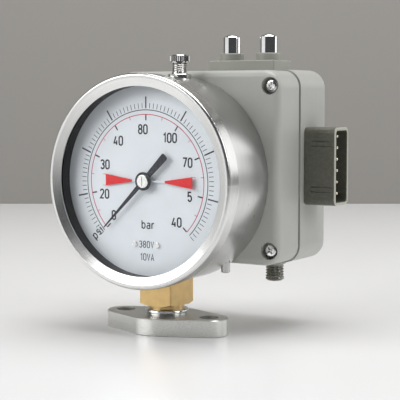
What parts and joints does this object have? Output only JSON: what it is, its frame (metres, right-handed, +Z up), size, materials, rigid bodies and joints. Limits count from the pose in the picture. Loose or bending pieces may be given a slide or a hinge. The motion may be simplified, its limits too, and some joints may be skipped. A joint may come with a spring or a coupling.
{
  "type": "pressure switch",
  "caption": "Dial pressure gauge with limit contacts on a two-bolt flange, with a switch box, push buttons and a connector behind it.",
  "frame": {"origin": "centre of the pressure port in the flange's underside", "axes": "+Z up out of the flange, the dial faces -Y, +X towards the connector"},
  "size_m": [0.1328, 0.098, 0.1574],
  "materials": {
    "case_steel": "brushed",
    "flange_steel": "satin",
    "fastener_steel": "bright",
    "nickel": "polished",
    "socket_brass": "machined",
    "movement_brass": "satin",
    "housing_paint": "satin paint on cast aluminium",
    "plate_paint": "satin paint on cast aluminium",
    "dial_face": "white lacquer",
    "pointer_black": "satin lacquer",
    "pointer_red": "satin lacquer",
    "black_plastic": "satin",
    "connector_plastic": "satin",
    "board_green": "solder mask",
    "rubber_black": "matte",
    "window": "clear"
  },
  "bodies": {
    "housing": {"gauge_case": "case_steel", "bezel_ring": "case_steel", "case_stud": "case_steel", "vent_boss": "case_steel", "flange_plate": "flange_steel", "spacer_ring": "fastener_steel", "sealing_washer": "fastener_steel", "case_screws": "fastener_steel", "board_screws": "fastener_steel", "plate_screws": "fastener_steel", "nipple_locknut": "fastener_steel", "cable_nipple": "fastener_steel", "hairspring": "fastener_steel", "switch_bracket": "fastener_steel", "test_button_spring": "fastener_steel", "reset_button_spring": "fastener_steel", "vent_stem": "nickel", "cover_screws": "nickel", "socket_block": "socket_brass", "dial_screws": "socket_brass", "connector_pins": "socket_brass", "bourdon_tube": "movement_brass", "tube_tip": "movement_brass", "movement_front_plate": "movement_brass", "movement_back_plate": "movement_brass", "movement_pillars": "movement_brass", "movement_screws": "movement_brass", "dial_standoffs": "movement_brass", "pointer_bushing": "movement_brass", "box_cover": "housing_paint", "box_base": "housing_paint", "button_plate": "plate_paint", "button_collars": "plate_paint", "dial_plate": "dial_face", "inner_ring": "black_plastic", "connector_insert": "black_plastic", "relays": "black_plastic", "terminal_block": "black_plastic", "test_switch": "black_plastic", "reset_switch": "black_plastic", "connector_shell": "connector_plastic", "control_board": "board_green", "port_seal": "rubber_black", "window_gasket": "rubber_black", "box_gasket": "rubber_black", "wire_grommet": "rubber_black", "window_glass": "window"},
    "sector": {"sector_gear": "movement_brass"},
    "pointer": {"pointer": "pointer_black", "pointer_cap": "nickel", "contact_arm": "movement_brass", "pinion_arbor": "movement_brass"},
    "link": {"link_rod": "movement_brass"},
    "low_set": {"low_set_pointer": "pointer_red", "low_contact_sleeve": "movement_brass"},
    "high_set": {"high_set_pointer": "pointer_red", "high_contact_sleeve": "movement_brass"},
    "vent_cap": {"vent_cap": "nickel"},
    "test_button": {"test_button": "nickel"},
    "reset_button": {"reset_button": "nickel"}
  },
  "joints": [
    {"name": "sector_swing", "type": "hinge", "parent": "housing", "child": "sector", "pos_m": [0, -0.0114, 0.0611], "axis": [0, 1, 0], "range_deg": [-33.75, 0], "stiffness_Nm_per_rad": 0.00002},
    {"name": "pointer_turn", "type": "hinge", "parent": "housing", "child": "pointer", "pos_m": [0, -0.0216, 0.08], "axis": [0, 1, 0], "range_deg": [0, 270]},
    {"name": "link_swing", "type": "hinge", "parent": "sector", "child": "link", "pos_m": [0.00074, -0.01, 0.05313], "axis": [0, 1, 0], "range_deg": [0, 33.75]},
    {"name": "low_set_turn", "type": "hinge", "parent": "housing", "child": "low_set", "pos_m": [0, -0.0197, 0.08], "axis": [0, 1, 0], "range_deg": [-45, 225]},
    {"name": "high_set_turn", "type": "hinge", "parent": "housing", "child": "high_set", "pos_m": [0, -0.0206, 0.08], "axis": [0, 1, 0], "range_deg": [-225, 45]},
    {"name": "vent_cap_turn", "type": "hinge", "parent": "housing", "child": "vent_cap", "pos_m": [0.0056, 0.004, 0.143], "axis": [0, 0, 1], "range_deg": [0, 270]},
    {"name": "test_button_press", "type": "slide", "parent": "housing", "child": "test_button", "axis": [0, 0, -1], "range_m": [0, 0.0025], "stiffness_N_per_m": 300, "springref_m": -0.002, "deforming": ["test_button_spring"]},
    {"name": "reset_button_press", "type": "slide", "parent": "housing", "child": "reset_button", "axis": [0, 0, -1], "range_m": [0, 0.0025], "stiffness_N_per_m": 300, "springref_m": -0.002, "deforming": ["reset_button_spring"]}
  ],
  "couplings": [
    {"joint": "pointer_turn", "follows": "sector_swing", "ratio": -8},
    {"joint": "link_swing", "follows": "sector_swing", "ratio": -1}
  ]
}
